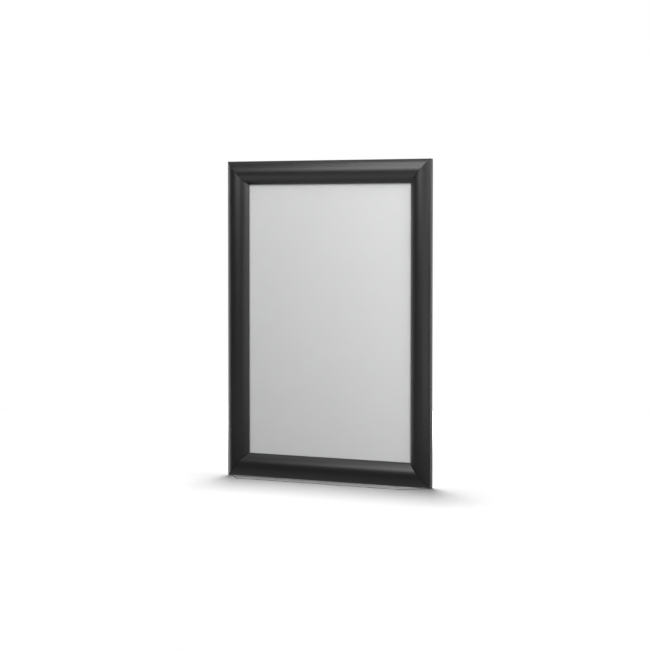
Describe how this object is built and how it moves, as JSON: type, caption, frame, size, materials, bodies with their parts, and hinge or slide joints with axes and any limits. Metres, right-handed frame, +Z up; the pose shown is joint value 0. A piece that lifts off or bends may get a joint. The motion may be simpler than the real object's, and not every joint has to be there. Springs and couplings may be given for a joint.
{
  "type": "poster snap frame",
  "caption": "Wall poster frame with mitred dark metal rails whose hinged covers snap open for changing the sheet behind a clear cover.",
  "frame": {"origin": "centre of the closed frame's box", "axes": "+Z up along the frame's long side, front towards -Y, back face on the wall at +Y, +X to the right seen from the front"},
  "size_m": [0.238, 0.011, 0.325],
  "materials": {
    "base_rail": "black satin coating on extruded aluminium",
    "snap_cover": "black satin coating on extruded aluminium",
    "leaf_spring": "bright rolled spring steel",
    "corner_key": "zinc-plated pressed steel",
    "back_panel": "pale grey matt polystyrene sheet",
    "clear_sheet": "clear anti-glare PVC sheet"
  },
  "bodies": {
    "frame": {"base_rail_top": "base_rail", "base_rail_right": "base_rail", "base_rail_bottom": "base_rail", "base_rail_left": "base_rail", "leaf_spring_top_1": "leaf_spring", "leaf_spring_top_2": "leaf_spring", "leaf_spring_right_1": "leaf_spring", "leaf_spring_right_2": "leaf_spring", "leaf_spring_bottom_1": "leaf_spring", "leaf_spring_bottom_2": "leaf_spring", "leaf_spring_left_1": "leaf_spring", "leaf_spring_left_2": "leaf_spring", "corner_key_top_left": "corner_key", "corner_key_top_right": "corner_key", "corner_key_bottom_right": "corner_key", "corner_key_bottom_left": "corner_key", "back_panel": "back_panel", "clear_sheet": "clear_sheet"},
    "cover_top": {"snap_cover_top": "snap_cover"},
    "cover_right": {"snap_cover_right": "snap_cover"},
    "cover_bottom": {"snap_cover_bottom": "snap_cover"},
    "cover_left": {"snap_cover_left": "snap_cover"}
  },
  "joints": [
    {"name": "top_hinge", "type": "hinge", "parent": "frame", "child": "cover_top", "pos_m": [0, 0.0011, 0.1601], "axis": [-1, 0, 0], "range_deg": [0, 95]},
    {"name": "right_hinge", "type": "hinge", "parent": "frame", "child": "cover_right", "pos_m": [0.1166, 0.0011, 0], "axis": [0, 0, 1], "range_deg": [0, 95]},
    {"name": "bottom_hinge", "type": "hinge", "parent": "frame", "child": "cover_bottom", "pos_m": [0, 0.0011, -0.1601], "axis": [1, 0, 0], "range_deg": [0, 95]},
    {"name": "left_hinge", "type": "hinge", "parent": "frame", "child": "cover_left", "pos_m": [-0.1166, 0.0011, 0], "axis": [0, 0, -1], "range_deg": [0, 95]}
  ]
}
